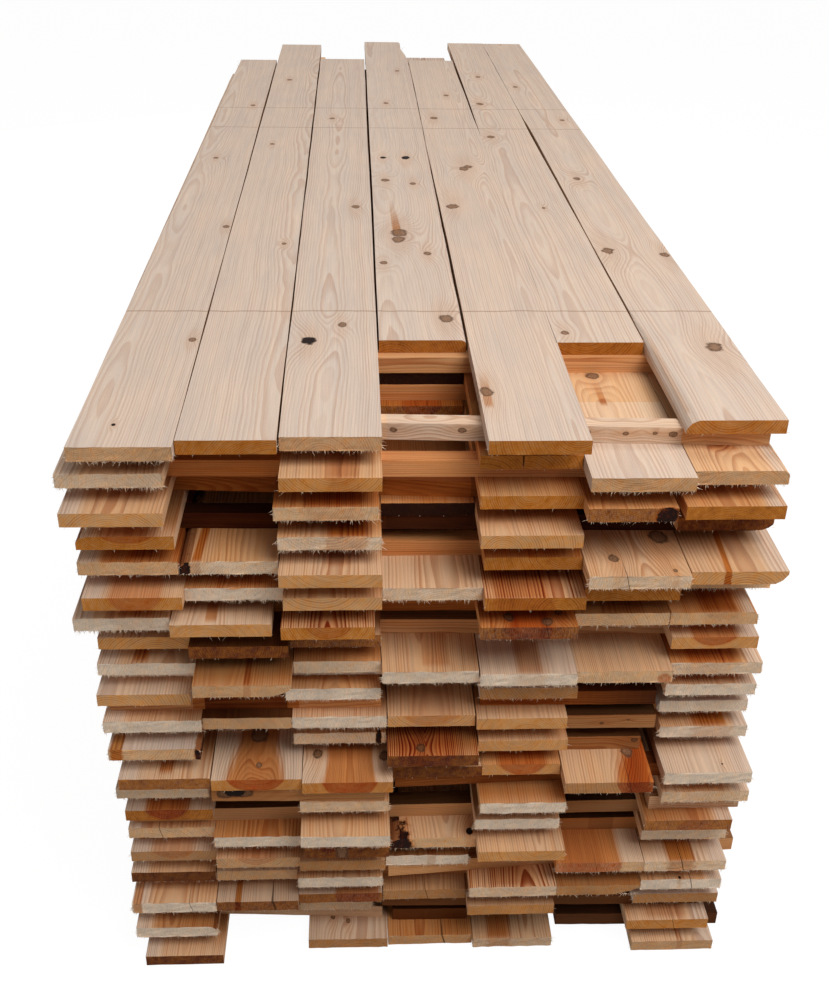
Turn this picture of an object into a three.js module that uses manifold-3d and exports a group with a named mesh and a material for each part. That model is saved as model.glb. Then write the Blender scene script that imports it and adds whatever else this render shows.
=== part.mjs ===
// Air-drying stack of rough-sawn boards, laid in layers on wooden stickers.
// Units are millimetres, +Z is up and the board ends face -Y.
// The origin is on the floor, under the middle of the stack.
import * as THREE from 'three';
import { mergeVertices } from 'three/addons/utils/BufferGeometryUtils.js';
import Module from 'manifold-3d';

const wasm = await Module();
wasm.setup();

// ---- driving dimensions -------------------------------------------------
const boardThickness = 23;
const boardWidth = 150;       // sawn width of a full board
const seam = 3.5;             // slot between neighbouring boards of a layer
const shortLength = 3000;
const longLength = 3300;
const stickerHeight = 29;
const stickerDepth = 32;      // along the boards
const stickerInset = 8;       // a sticker stops this far inside the outer board edge
const firstInnerRow = 364;    // first sticker row behind the front one, from the stack's face
const innerRowPitch = 639;    // from one inner sticker row to the next
const restGap = 0.3;          // clearance between things that lie on each other
const slotReach = 470;        // hidden layers are slotted this far in from the stack's face
const rearSlotReach = 420;    // and this far in from the short boards' rear ends
const faceSlotDepth = 15;     // depth of the full-length slots in the top and bottom faces
const wanedStations = 15;     // sections along a natural edge
const waneOverrun = 20;       // how far the cut of a natural edge passes the board

const layerPitch = boardThickness + stickerHeight;
const columnPitch = boardWidth + seam;
const faceY = -longLength / 2;

// How far each board's front end stands back from the face of the stack.
// One row for each layer from the top down, boards from left to right.
// A short board that is pushed to the back of the stack stands back by the difference in length.
const back = longLength - shortLength;
const frontSetbacks = [
  [-10, 10, 20, back + 85, 5, back + 75, 70],
  [5, back + 50, -10, back + 67, 57, -15, 5],
  [-20, back + 60, -5, back + 40, 25, -15, -10],
  [0, back + 50, -5, 95, -5, back + 45, 44],
  [10, 10, -30, back + 50, 15, -40, -30],
  [-10, 15, -15, 10, -20, 4, 36],
  [10, -10, -20, back + 45, -25, 10, 10],
  [30, 3, 30, back + 55, back + 40, back + 45, 15],
  [30, -30, 30, 0, -10, -5, 15],
  [15, back + 45, 25, back + 50, 20, back + 55, 25],
  [10, 15, 15, 15, 5, back + 45, 45],
  [0, back + 55, 35, -25, 10, back + 50, 40],
  [-15, -20, -30, 5, 8, -40, -20],
  [20, back + 50, -20, back + 40, -30, back + 45, -10],
  [20, back + 50, -50, back + 50, -15, back + 40, -25],
  [30, 5, -25, -5, -40, back + 50, 5],
  [25, 5, -5, 5, back + 45, -20, -20],
  [25, 25, 5, back + 45, -25, -25, -15],
  [0, 0, 15, 20, -20, back + 45, 0],
  [-10, back + 50, 45, back + 40, back + 35, back + 50, -15],
  [-30, back + 45, 0, 5, -5, back + 55, -20],
];

// Sideways drift of the eight edges and seams of each layer, left to right.
const seamDrifts = [
  [0, 0, -5, -5, -5, -5, -5, 0],
  [-25, -20, -5, -5, -10, -5, 0, -10],
  [-20, -20, -15, -10, -10, -5, -10, -10],
  [-5, -10, -10, -5, -10, -5, -5, -5],
  [-10, -10, -10, -5, 0, 0, 5, 5],
  [-5, -5, -5, -5, 0, 5, 5, 5],
  [-30, -30, -10, -15, -5, -5, -5, -15],
  [0, -5, 0, -5, 0, 0, 5, -5],
  [-5, 0, 5, -5, 0, 5, 10, 10],
  [-10, -10, -10, -5, 5, 15, 10, 10],
  [-5, 5, 0, 5, 0, 0, 10, 10],
  [0, 0, 0, 5, 5, 5, 15, 15],
  [15, 15, 15, 15, 15, -3, 16, 15],
  [0, 5, 10, 10, 10, 5, 20, 20],
  [10, 10, 10, 10, 5, 0, -5, -5],
  [10, 10, 15, 10, 10, 10, 0, 0],
  [10, 10, 5, 5, 0, 0, 5, 0],
  [5, 5, 0, 0, 0, 5, 5, 0],
  [5, 5, 0, 0, 0, 5, 0, 5],
  [10, 5, 0, -10, 0, 0, -10, -10],
  [25, 15, 15, 10, 15, 10, 5, 5],
];

// Front stickers: the level that each fills (level 1 lies under layer 1), how far its left and
// right ends stand back, the columns that it spans and how far it sticks out beyond the last one.
// Some levels have several short pieces.
const frontStickers = [
  { level: 1, left: 131, right: 86 },
  { level: 2, left: 93, right: 80 },
  { level: 3, left: 150, right: 83 },
  { level: 4, left: 112, right: 89 },
  { level: 5, left: 104, right: 104 },
  { level: 6, left: 102, right: 96 },
  { level: 7, left: 101, right: 93 },
  { level: 8, left: 115, right: 94 },
  { level: 9, left: 62, right: 58 },
  { level: 10, left: 39, right: 39, to: 3 },
  { level: 10, piece: 'right', left: 40, right: 38, from: 5, to: 6 },
  { level: 11, left: 84, right: 88 },
  { level: 11, piece: 'right', left: 40, right: 38, from: 5, to: 6 },
  { level: 12, left: 112, right: 108 },
  { level: 12, piece: 'right', left: 45, right: 43, from: 5, to: 6 },
  { level: 13, left: -14, right: -19, from: 2, to: 3 },
  { level: 13, piece: 'right', left: 13, right: 38, from: 4 },
  { level: 14, left: 86, right: 82, to: 6 },
  { level: 14, piece: 'right', left: 5, right: 5, from: 7, beyond: 26 },
  { level: 15, left: 45, right: 53 },
  { level: 16, left: 56, right: 62 },
  { level: 17, left: 72, right: 66, to: 3 },
  { level: 17, piece: 'right', left: 6, right: 56, from: 4, beyond: 46 },
  { level: 18, left: 60, right: 56 },
  { level: 19, left: 54, right: 50, to: 3 },
  { level: 19, piece: 'right', left: 31, right: 22, from: 4 },
  { level: 20, left: 72, right: 50, to: 3 },
  { level: 20, piece: 'middle', left: 43, right: 42, from: 4, to: 4 },
  { level: 20, piece: 'right', left: 24, right: 19, from: 6, beyond: 39 },
];

// Boards sawn narrower than the rest: how much is missing on which side.
const narrowBoards = [
  { layer: 3, column: 6, side: 1, missing: 12 },
  { layer: 7, column: 2, side: 1, missing: 14 },
  { layer: 13, column: 6, side: 1, missing: 21 },
  { layer: 20, column: 3, side: 1, missing: 8 },
];

// Places filled by two slim boards: the left one's share of the width, and the slot between them.
const slimPairs = [
  { layer: 2, column: 5, share: 0.42, slot: 4 },
];

// Boards with bark edges: layer, column, side, and the width and depth of the missing corner.
const wanes = [
  { layer: 1, column: 7, side: -1, width: 26, depth: 15, phase: 0.4 },
  { layer: 1, column: 4, side: 1, width: 14, depth: 12, phase: 1.9 },
  { layer: 4, column: 1, side: -1, width: 12, depth: 11, phase: 0.9 },
  { layer: 5, column: 2, side: -1, width: 18, depth: 14, phase: 2.6 },
  { layer: 12, column: 1, side: 1, width: 12, depth: 12, phase: 3.1 },
  { layer: 16, column: 4, side: -1, width: 22, depth: 16, phase: 1.2 },
  { layer: 20, column: 1, side: 1, width: 14, depth: 13, phase: 0.2 },
];

// ---- helpers ------------------------------------------------------------
function toSolid(geometry) {
  geometry.deleteAttribute('normal');
  geometry.deleteAttribute('uv');
  const merged = mergeVertices(geometry, 1e-4);
  return new wasm.Manifold(new wasm.Mesh({
    numProp: 3,
    vertProperties: new Float32Array(merged.attributes.position.array),
    triVerts: new Uint32Array(merged.index.array),
  }));
}

function toMesh(solid, name, material) {
  const mesh = solid.getMesh();
  const geometry = new THREE.BufferGeometry();
  geometry.setAttribute('position', new THREE.BufferAttribute(mesh.vertProperties, 3));
  geometry.setIndex(new THREE.BufferAttribute(mesh.triVerts, 1));
  const flat = geometry.toNonIndexed();
  flat.computeVertexNormals();
  const node = new THREE.Mesh(flat, material);
  node.name = name;
  return node;
}

// A box given by its limits along X, Y and Z.
function block([x0, x1], [y0, y1], [z0, z1]) {
  const geometry = new THREE.BoxGeometry(x1 - x0, y1 - y0, z1 - z0);
  geometry.translate((x0 + x1) / 2, (y0 + y1) / 2, (z0 + z1) / 2);
  return toSolid(geometry);
}

// A solid lofted through rings of equal length, one ring for each station.
function loft(rings) {
  const count = rings[0].length;
  const positions = rings.flat().flatMap((p) => [p.x, p.y, p.z]);
  const index = [];
  for (let s = 0; s < rings.length - 1; s += 1) {
    for (let i = 0; i < count; i += 1) {
      const a = s * count + i;
      const b = s * count + (i + 1) % count;
      index.push(a, b + count, a + count, a, b, b + count);
    }
  }
  const last = (rings.length - 1) * count;
  for (let i = 1; i < count - 1; i += 1) {
    index.push(0, i + 1, i);
    index.push(last, last + i, last + i + 1);
  }
  const geometry = new THREE.BufferGeometry();
  geometry.setAttribute('position', new THREE.Float32BufferAttribute(positions, 3));
  geometry.setIndex(index);
  return toSolid(geometry);
}

// ---- where the boards lie -----------------------------------------------
// Layer 1 is on top and column 1 is on the left.
const layerCount = frontSetbacks.length;
const columnCount = frontSetbacks[0].length;
const layerFloor = (layer) => (layerCount - layer) * layerPitch;

// Two boards in five are long, in a pattern that shifts from layer to layer.
// A board that lies far back is always short.
function boardLength(layer, column, setback) {
  const long = (column + 2 * layer) % 5 === 4 && setback < back / 2;
  return long ? longLength : shortLength;
}

function placeBoard(layer, column) {
  const setback = frontSetbacks[layer - 1][column - 1];
  const seamCentre = (i) => (i - columnCount / 2) * columnPitch + seamDrifts[layer - 1][i];
  const missingOn = (side) => narrowBoards
    .filter((b) => b.layer === layer && b.column === column && b.side === side)
    .reduce((sum, b) => sum + b.missing, 0);
  return {
    x0: seamCentre(column - 1) + seam / 2 + missingOn(-1),
    x1: seamCentre(column) - seam / 2 - missingOn(1),
    y0: faceY + setback,
    y1: faceY + setback + boardLength(layer, column, setback),
  };
}

// A board, or the two slim boards that take its place.
function placeBoards(layer, column) {
  const board = placeBoard(layer, column);
  const pair = slimPairs.find((p) => p.layer === layer && p.column === column);
  if (!pair) return [board];
  const cut = THREE.MathUtils.lerp(board.x0, board.x1, pair.share);
  return [{ ...board, x1: cut - pair.slot / 2 }, { ...board, x0: cut + pair.slot / 2 }];
}

// ---- one layer ----------------------------------------------------------
// The outline of a layer seen from above: the board ends, and the slots between them.
function layerOutline(boards) {
  const slotFront = faceY + slotReach;
  const slotRear = faceY + shortLength - rearSlotReach;
  const outline = new THREE.Shape();
  boards.forEach((board, i) => {
    if (i > 0) outline.lineTo(board.x0, slotFront);
    if (i > 0) outline.lineTo(board.x0, board.y0);
    else outline.moveTo(board.x0, board.y0);
    outline.lineTo(board.x1, board.y0);
    if (i < boards.length - 1) outline.lineTo(board.x1, slotFront);
  });
  [...boards].reverse().forEach((board, i) => {
    if (i > 0) outline.lineTo(board.x1, slotRear);
    outline.lineTo(board.x1, board.y1);
    outline.lineTo(board.x0, board.y1);
    if (i < boards.length - 1) outline.lineTo(board.x0, slotRear);
  });
  return outline;
}

// The natural edge swells and shrinks along the log.
function waneSwell(t, phase) {
  return 0.62 + 0.28 * Math.sin(5.1 * t + phase) + 0.1 * Math.sin(13.7 * t + 2 * phase);
}

// What the round of the log leaves out of a board's upper corner.
function waneCut(board, top, wane) {
  const edge = wane.side < 0 ? board.x0 : board.x1;
  const inward = -wane.side;
  const rings = [];
  for (let s = 0; s < wanedStations; s += 1) {
    const t = s / (wanedStations - 1);
    const y = THREE.MathUtils.lerp(board.y0 - waneOverrun, board.y1 + waneOverrun, t);
    const swell = waneSwell(t, wane.phase);
    const width = wane.width * swell;
    const depth = wane.depth * Math.sqrt(swell);
    const ring = [
      new THREE.Vector3(edge - inward * seam / 2, y, top - depth),
      new THREE.Vector3(edge, y, top - depth),
      new THREE.Vector3(edge + inward * width * 0.3, y, top - depth * 0.45),
      new THREE.Vector3(edge + inward * width, y, top),
      new THREE.Vector3(edge + inward * width, y, top + 1),
      new THREE.Vector3(edge - inward * seam / 2, y, top + 1),
    ];
    rings.push(wane.side < 0 ? ring.reverse() : ring);
  }
  return loft(rings);
}

// A slot along the whole seam between two boards, in the face from z0 to z1.
function seamSlot(left, right, z0, z1) {
  const along = [faceY + slotReach - 1, faceY + shortLength - rearSlotReach + 1];
  return block([left.x1, right.x0], along, [z0, z1]);
}

function buildLayer(layer) {
  const columns = frontSetbacks[layer - 1].map((_, i) => i + 1);
  const boards = columns.flatMap((column) => placeBoards(layer, column));
  const floor = layerFloor(layer);
  const top = floor + boardThickness;
  const extrusion = { depth: boardThickness, bevelEnabled: false };
  const plank = new THREE.ExtrudeGeometry(layerOutline(boards), extrusion);
  plank.translate(0, 0, floor);
  let solid = toSolid(plank);
  for (const wane of wanes.filter((w) => w.layer === layer)) {
    solid = solid.subtract(waneCut(placeBoard(layer, wane.column), top, wane));
  }
  for (let i = 1; i < boards.length; i += 1) {
    const [left, right] = [boards[i - 1], boards[i]];
    if (layer === 1) solid = solid.subtract(seamSlot(left, right, top - faceSlotDepth, top + 1));
    if (layer === layerCount) solid = solid.subtract(seamSlot(left, right, floor - 1, floor + faceSlotDepth));
  }
  if (layer > 1) {
    for (let i = 0; i < innerRowCount; i += 1) {
      solid = solid.add(innerSticker(layer - 1, top, faceY + firstInnerRow + i * innerRowPitch));
    }
  }
  return solid;
}

// ---- stickers -----------------------------------------------------------
// Inner rows are laid as far back as the short boards carry them.
const innerRowCount = Math.floor((shortLength - stickerDepth - firstInnerRow) / innerRowPitch) + 1;

// A sticker ends inside the boards that carry it and, at the sides of the stack, inside the
// boards above it too.
function stickerReach(level, from, to) {
  const below = level + 1;
  let left = placeBoard(below, from).x0;
  let right = placeBoard(below, to).x1;
  if (from === 1) left = Math.max(left, placeBoard(level, from).x0);
  if (to === columnCount) right = Math.min(right, placeBoard(level, to).x1);
  return [left + stickerInset, right - stickerInset];
}

// Each inner sticker is one with the layer that it lies on.
function innerSticker(level, top, y) {
  const across = stickerReach(level, 1, columnCount);
  return block(across, [y, y + stickerDepth], [top, top + stickerHeight - restGap]);
}

// A front sticker lies loose on the layer below it, and may lie askew.
function frontSticker({ level, left, right, from = 1, to = columnCount, beyond = 0 }) {
  const [x0, inner] = stickerReach(level, from, to);
  const x1 = inner + beyond;
  const outline = new THREE.Shape([
    new THREE.Vector2(x0, faceY + left),
    new THREE.Vector2(x1, faceY + right),
    new THREE.Vector2(x1, faceY + right + stickerDepth),
    new THREE.Vector2(x0, faceY + left + stickerDepth),
  ]);
  const bar = new THREE.ExtrudeGeometry(outline, { depth: stickerHeight - 2 * restGap, bevelEnabled: false });
  bar.translate(0, 0, layerFloor(level + 1) + boardThickness + restGap);
  return toSolid(bar);
}

// ---- the stack ----------------------------------------------------------
const freshWood = new THREE.MeshStandardMaterial({ color: 0xd2b193, roughness: 0.82, metalness: 0 });
const stickerWood = new THREE.MeshStandardMaterial({ color: 0xa87b4f, roughness: 0.85, metalness: 0 });
const pad = (n) => String(n).padStart(2, '0');

const stack = new THREE.Group();
for (let layer = 1; layer <= layerCount; layer += 1) {
  stack.add(toMesh(buildLayer(layer), `board_layer_${pad(layer)}`, freshWood));
}
for (const sticker of frontStickers) {
  const name = ['front_sticker', pad(sticker.level), sticker.piece].filter(Boolean).join('_');
  stack.add(toMesh(frontSticker(sticker), name, stickerWood));
}

export default stack;
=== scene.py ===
import bpy
import math
import random
import numpy as np
from mathutils import Matrix, Vector


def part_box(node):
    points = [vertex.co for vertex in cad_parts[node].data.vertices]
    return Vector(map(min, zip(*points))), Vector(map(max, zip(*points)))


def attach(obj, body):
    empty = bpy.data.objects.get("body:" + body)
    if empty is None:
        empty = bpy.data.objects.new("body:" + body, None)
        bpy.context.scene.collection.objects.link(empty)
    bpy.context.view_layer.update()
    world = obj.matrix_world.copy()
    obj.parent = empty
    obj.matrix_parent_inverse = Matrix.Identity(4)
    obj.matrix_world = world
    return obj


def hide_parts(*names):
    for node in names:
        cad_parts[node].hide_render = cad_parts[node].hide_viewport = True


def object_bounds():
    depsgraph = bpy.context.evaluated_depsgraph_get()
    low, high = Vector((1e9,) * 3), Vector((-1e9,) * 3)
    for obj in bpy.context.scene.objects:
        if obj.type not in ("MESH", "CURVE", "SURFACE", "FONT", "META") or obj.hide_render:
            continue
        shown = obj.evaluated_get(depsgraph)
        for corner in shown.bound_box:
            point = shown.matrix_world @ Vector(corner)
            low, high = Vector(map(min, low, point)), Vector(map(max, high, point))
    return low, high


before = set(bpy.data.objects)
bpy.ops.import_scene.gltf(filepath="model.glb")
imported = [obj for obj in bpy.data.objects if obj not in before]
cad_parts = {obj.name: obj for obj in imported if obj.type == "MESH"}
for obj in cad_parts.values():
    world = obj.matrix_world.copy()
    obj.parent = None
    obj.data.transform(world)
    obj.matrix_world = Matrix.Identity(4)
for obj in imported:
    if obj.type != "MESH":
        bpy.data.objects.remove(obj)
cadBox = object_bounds()
mm = 0.001

# Where the camera stands, in m, and how it is turned, in degrees.
camera = {
    'place': (-0.118, -3.2075, 1.867),
    'heading': 2.76,      # from +Y towards +X
    'tilt': 29.46,        # below level
    'roll': -1.05,
    'lens': 43.64,
    'shift': (0.0055, -0.0109),
    'reach': 60,
}


def makeCamera(spec):
    heading = math.radians(spec['heading'])
    tilt = math.radians(spec['tilt'])
    roll = math.radians(spec['roll'])
    level = math.cos(tilt)
    ahead = Vector((math.sin(heading) * level, math.cos(heading) * level, -math.sin(tilt)))
    beside = Vector((math.cos(heading), -math.sin(heading), 0))
    upright = beside.cross(ahead)
    right = beside * math.cos(roll) - upright * math.sin(roll)
    up = beside * math.sin(roll) + upright * math.cos(roll)
    data = bpy.data.cameras.new('viewCamera')
    data.lens = spec['lens']
    data.shift_x, data.shift_y = spec['shift']
    data.clip_end = spec['reach']
    holder = bpy.data.objects.new('viewCamera', data)
    bpy.context.scene.collection.objects.link(holder)
    turn = Matrix((right, up, -ahead)).transposed().to_4x4()
    holder.matrix_world = Matrix.Translation(spec['place']) @ turn
    bpy.context.scene.camera = holder


makeCamera(camera)
print('camera set')


class Wire:
    # an output socket; sums and products of wires add Math nodes
    def __init__(self, tree, socket):
        self.tree = tree
        self.socket = socket

    def maths(self, operation, *others, flip=False):
        terms = [self, *others]
        if flip:
            terms.reverse()
        return self.tree.add('ShaderNodeMath', {'operation': operation}, dict(enumerate(terms)))

    def __add__(self, other):
        return self.maths('ADD', other)

    def __sub__(self, other):
        return self.maths('SUBTRACT', other)

    def __rsub__(self, other):
        return self.maths('SUBTRACT', other, flip=True)

    def __mul__(self, other):
        return self.maths('MULTIPLY', other)

    def __truediv__(self, other):
        return self.maths('DIVIDE', other)

    def __pow__(self, other):
        return self.maths('POWER', other)

    def __neg__(self):
        return self.maths('MULTIPLY', -1)

    def __abs__(self):
        return self.maths('ABSOLUTE')

    def atLeast(self, other):
        return self.maths('MAXIMUM', other)

    __radd__ = __add__
    __rmul__ = __mul__


class Tree:
    # the node tree of a material or a world
    def __init__(self, owner):
        owner.use_nodes = True
        self.owner = owner
        self.nodes = owner.node_tree.nodes
        self.nodes.clear()

    def plug(self, socket, value):
        if isinstance(value, Wire):
            self.owner.node_tree.links.new(value.socket, socket)
        elif socket.type == 'RGBA':
            socket.default_value = (*value, 1)
        else:
            socket.default_value = value

    def add(self, kind, settings=None, inputs=None, out=0):
        node = self.nodes.new(kind)
        for key, value in (settings or {}).items():
            if key == 'stops':
                ramp = node.color_ramp.elements
                while len(ramp) < len(value):
                    ramp.new(0.5)
                for stop, (position, colour) in zip(ramp, value):
                    stop.position = position
                    stop.color = (*colour, 1)
            else:
                setattr(node, key, value)
        for key, value in (inputs or {}).items():
            self.plug(node.inputs[key], value)
        return Wire(self, node.outputs[out]) if node.outputs else None

    def mix(self, factor, first, second, blend='MIX'):
        settings = {'data_type': 'RGBA', 'blend_type': blend, 'clamp_factor': True}
        return self.add('ShaderNodeMix', settings, {0: factor, 6: first, 7: second}, out=2)

    def wash(self, factor, first, second):
        # the second colour laid over the first like a thin glaze
        return self.mix(factor, first, second, 'MULTIPLY')

    def ramp(self, stops, value):
        return self.add('ShaderNodeValToRGB', {'stops': stops}, {0: value})

    def vector(self, x, y, z):
        return self.add('ShaderNodeCombineXYZ', None, {0: x, 1: y, 2: z})

    def parts(self, vector):
        splitter = self.add('ShaderNodeSeparateXYZ', None, {0: vector})
        return [Wire(self, output) for output in splitter.socket.node.outputs]

    def mark(self, name):
        return self.add('ShaderNodeAttribute', {'attribute_name': name}, out='Vector')

    def noise(self, vector, scale=1.0, detail=2.0, rough=0.5):
        inputs = {'Vector': vector, 'Scale': scale, 'Detail': detail, 'Roughness': rough}
        return self.add('ShaderNodeTexNoise', None, inputs)

    def step(self, value, low, high):
        # 0 below low, 1 above high, smooth between
        settings = {'interpolation_type': 'SMOOTHSTEP', 'clamp': True}
        return self.add('ShaderNodeMapRange', settings, {0: value, 1: low, 2: high, 3: 0.0, 4: 1.0})


def tint(*levels):
    # a colour written in screen values from 0 to 255
    return tuple(c / 255 / 12.92 if c < 10 else ((c / 255 + 0.055) / 1.055) ** 2.4 for c in levels)


# Colours of the wood. The two ramps run from white over golden to brown, for the long faces and
# for the sawn ends; the rest is laid over them.
woodTones = {
    'top': ((0.0, tint(209, 191, 177)), (0.22, tint(228, 196, 164)), (0.5, tint(222, 168, 114)),
            (0.75, tint(200, 122, 54)), (1.0, tint(112, 50, 18))),
    'end': ((0.0, tint(228, 208, 186)), (0.25, tint(218, 178, 136)), (0.5, tint(212, 150, 86)),
            (0.7, tint(190, 116, 34)), (1.0, tint(96, 42, 14))),
    'late': tint(188, 128, 78),
    'lateEnd': tint(164, 106, 60),
    'heartTop': tint(226, 172, 118),
    'heartEnd': tint(216, 152, 96),
    'resin': tint(216, 162, 98),
    'stripe': tint(206, 138, 78),
    'knotRim': tint(54, 31, 19),
    'knotCore': tint(146, 108, 80),
    'knotHalo': tint(228, 190, 150),
    'bark': tint(178, 124, 80),
    'barkDark': tint(84, 50, 32),
    # also painted into the holes of fallen-out knots as their shade
    'char': tint(26, 12, 7),
    'scorch': tint(84, 30, 12),
    'fibre': tint(234, 212, 186),
    'line': tint(150, 118, 94),
    # the warm tint of the painted shade, standing in for light bounced off the wood
    'shadow': (1.0, 0.7, 0.44),
}
markNames = (
    'origin', 'pith', 'heart', 'tone', 'finish', 'knotA', 'knotB', 'knotC',
    'edge', 'crack', 'patch', 'stain', 'stainRun', 'span', 'lines', 'bare',
)

# Noises that follow the grain: scale across and along it in mm, offset, detail and roughness.
grains = {
    'drift': (4000.0, 1300.0, 3.0, 1.0, 0.5),
    'lift': (4000.0, 900.0, 17.0, 1.0, 0.5),
    'warp': (60.0, 260.0, 31.0, 2.0, 0.5),
    'fibre': (0.9, 120.0, 5.0, 3.0, 0.65),
    'streak': (7.0, 600.0, 51.0, 3.0, 0.6),
    'cloud': (70.0, 240.0, 71.0, 3.0, 0.6),
    'split': (400.0, 26.0, 91.0, 3.0, 0.5),
}

# Where the features of the wood begin and end. Knots, stains and patches count in their own
# sizes, late wood in rings, the rest in mm.
woodForm = {
    'pithDrift': 40.0,             # how far the pith wanders sideways
    'pithLift': (24.0, 60.0),      # and up, and how much more in striped wood
    'ringWarp': 9.0,
    'ringSwell': 1.7,              # how far a knot pushes the rings aside
    'knotEdge': (0.7, 1.05),
    'knotRim': (0.42, 0.8),
    'knotHalo': (0.6, 2.4),
    'lateWood': (0.2, 0.86),
    'lateEdge': (0.92, 1.0),
    'resinStreak': (0.58, 0.74),
    'heartEdge': (-6.0, 6.0),
    'heartCut': (-1.5, 2.5),
    'stainEdge': (0.7, 1.15),
    'stainStart': (-14.0, 6.0),
    'crackEdge': (0.5, 1.2),
    'patchEdge': (0.85, 1.05),
    'patchRust': (0.9, 1.35),
    'patchTall': 20.0,
    'sawLine': (1.0, 4.0),
    'bareStrip': (34.0, 56.0),     # from the middle of a board towards the open side
    'shadeStart': (-26.0, 56.0),   # from the end of the board above
    'shadeEnd': (100.0, 210.0),    # from the far end
    'ripple': 0.9,                 # saw marks, turned by this much for each mm
    'bumpDistance': 0.0012,        # in m
}


def makeWood(name, tones, along):
    tree = Tree(bpy.data.materials.new(name))
    form = woodForm
    # board coordinates in mm: across, along and up from the middle of the front end
    place = tree.add('ShaderNodeTexCoord', out='Object')
    local = tree.add('ShaderNodeVectorMath', {'operation': 'SUBTRACT'}, {0: place, 1: tree.mark('origin')})
    local = tree.add('ShaderNodeVectorMath', {'operation': 'SCALE'}, {0: local, 'Scale': 1 / mm})
    across, length, height = tree.parts(local)
    normal = tree.parts(tree.add('ShaderNodeNewGeometry', out='Normal'))
    lengthwise = normal[1]
    knotSide = across
    if along == 'x':
        across, length = length, across
        lengthwise = normal[0]
        knotSide = height
    pithX, pithZ, pitch = tree.parts(tree.mark('pith'))
    heartSize, heartDeep, seed = tree.parts(tree.mark('heart'))
    topTone, endTone, dark = tree.parts(tree.mark('tone'))
    rough, stripes, fuzz = tree.parts(tree.mark('finish'))
    bark, resin, warm = tree.parts(tree.mark('edge'))
    shifted = seed * 137.0
    onEnd = tree.step(abs(lengthwise), 0.6, 0.8)

    def grainNoise(kind):
        wide, long, offset, detail, roughness = grains[kind]
        spot = tree.vector(across / wide + shifted, length / long + offset, height / wide)
        return tree.noise(spot, 1.0, detail, roughness)

    # the pith wanders, so rings leave the faces in long arches
    drift = grainNoise('drift') - 0.5
    lift = grainNoise('lift') - 0.5
    warp = grainNoise('warp') - 0.5
    liftPlain, liftStriped = form['pithLift']
    offX = across - pithX - drift * form['pithDrift']
    offZ = height - pithZ - lift * (liftPlain + stripes * liftStriped) * (1 - onEnd)
    radius = (offX * offX + offZ * offZ) ** 0.5 + warp * form['ringWarp']

    fibre = grainNoise('fibre')
    streak = grainNoise('streak')
    cloud = grainNoise('cloud')
    grit = tree.noise(local, 0.55, 3.0, 0.7)
    blotch = tree.noise(local, 0.07, 2.0, 0.6)

    core = glowing = None
    for letter in 'ABC':
        knotX, knotY, knotSize = tree.parts(tree.mark('knot' + letter))
        size = abs(knotSize)
        dx = (knotSide - knotX) / size
        dy = (length - knotY) / size
        swirl = (-(dx * dx * 0.14 + dy * dy * 0.03)).maths('EXPONENT')
        radius = radius + swirl * size * form['ringSwell']
        far = (dx * dx + dy * dy * 0.5) ** 0.5 + warp * 0.9 + (blotch - 0.5) * 0.9
        glow = (dx * dx + dy * dy * 0.05) ** 0.5 + warp * 2.2
        spot = 1 - tree.step(far, *form['knotEdge'])
        rim = tree.step(far, *form['knotRim']) * spot
        halo = (1 - tree.step(glow, *form['knotHalo'])) * (0.3 + resin)
        pit = spot * (-knotSize).maths('SIGN').atLeast(0.0)   # knots of negative size have fallen out
        found = tree.vector(spot, rim, pit)
        if core is None:
            core, glowing = found, halo
            continue
        core = tree.add('ShaderNodeVectorMath', {'operation': 'MAXIMUM'}, {0: core, 1: found})
        glowing = glowing.atLeast(halo)
    spot, rim, pit = tree.parts(core)

    turns = radius / pitch
    ring = turns.maths('FRACT')
    count = turns.maths('FLOOR') + shifted
    year = tree.add('ShaderNodeTexWhiteNoise', {'noise_dimensions': '1D'}, {'W': count})
    late = tree.step(ring, *form['lateWood']) * (1 - tree.step(ring, *form['lateEdge']))
    late = late * (0.25 + year * 0.75)

    # open strips along the outer sides of the stack have greyed
    side, bare, _ = tree.parts(tree.mark('bare'))
    bare = tree.step(across * side + (streak - 0.5) * 20.0, *form['bareStrip']) * bare
    topTone = topTone + (0.08 - topTone) * bare * 0.85

    # long faces
    body = tree.ramp(tones['top'], topTone + (cloud * 0.3 + streak * 0.24 - 0.27) * (0.35 + topTone))
    body = tree.wash(late * (0.2 + stripes * 0.8), body, tones['late'])
    resinous = tree.step(streak + (year - 0.5) * 0.12, *form['resinStreak'])
    body = tree.wash(resinous * resin, body, tones['resin'])
    body = tree.wash((stripes - 0.6).atLeast(0.0) * 2.2 * late, body, tones['stripe'])
    heartOff = radius + (streak - 0.5) * 22.0 - heartSize
    body = tree.wash((1 - tree.step(heartOff, *form['heartEdge'])) * heartDeep, body, tones['heartTop'])

    # sawn ends
    cut = tree.ramp(tones['end'], endTone + (blotch - 0.5) * 0.5 + (grit - 0.5) * 0.4)
    cut = tree.wash(late * (0.4 + endTone * 0.3 - rough * 0.2), cut, tones['lateEnd'])
    inHeart = (1 - tree.step(radius - heartSize, *form['heartCut'])) * heartDeep
    cut = tree.wash(inHeart * (0.7 + blotch * 0.4), cut, tones['heartEnd'])
    hairs = tree.noise(tree.vector(across / 1.3 + shifted, 0.0, height / 9.0), 1.0, 3.0, 0.7)
    cut = tree.mix(rough * tree.step(hairs, 0.4, 0.7) * 0.4, cut, tones['fibre'])
    cut = tree.wash(rough * tree.step(hairs, 0.5, 0.3) * 0.25, cut, tones['lateEnd'])
    body = tree.mix(onEnd, body, cut)

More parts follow.
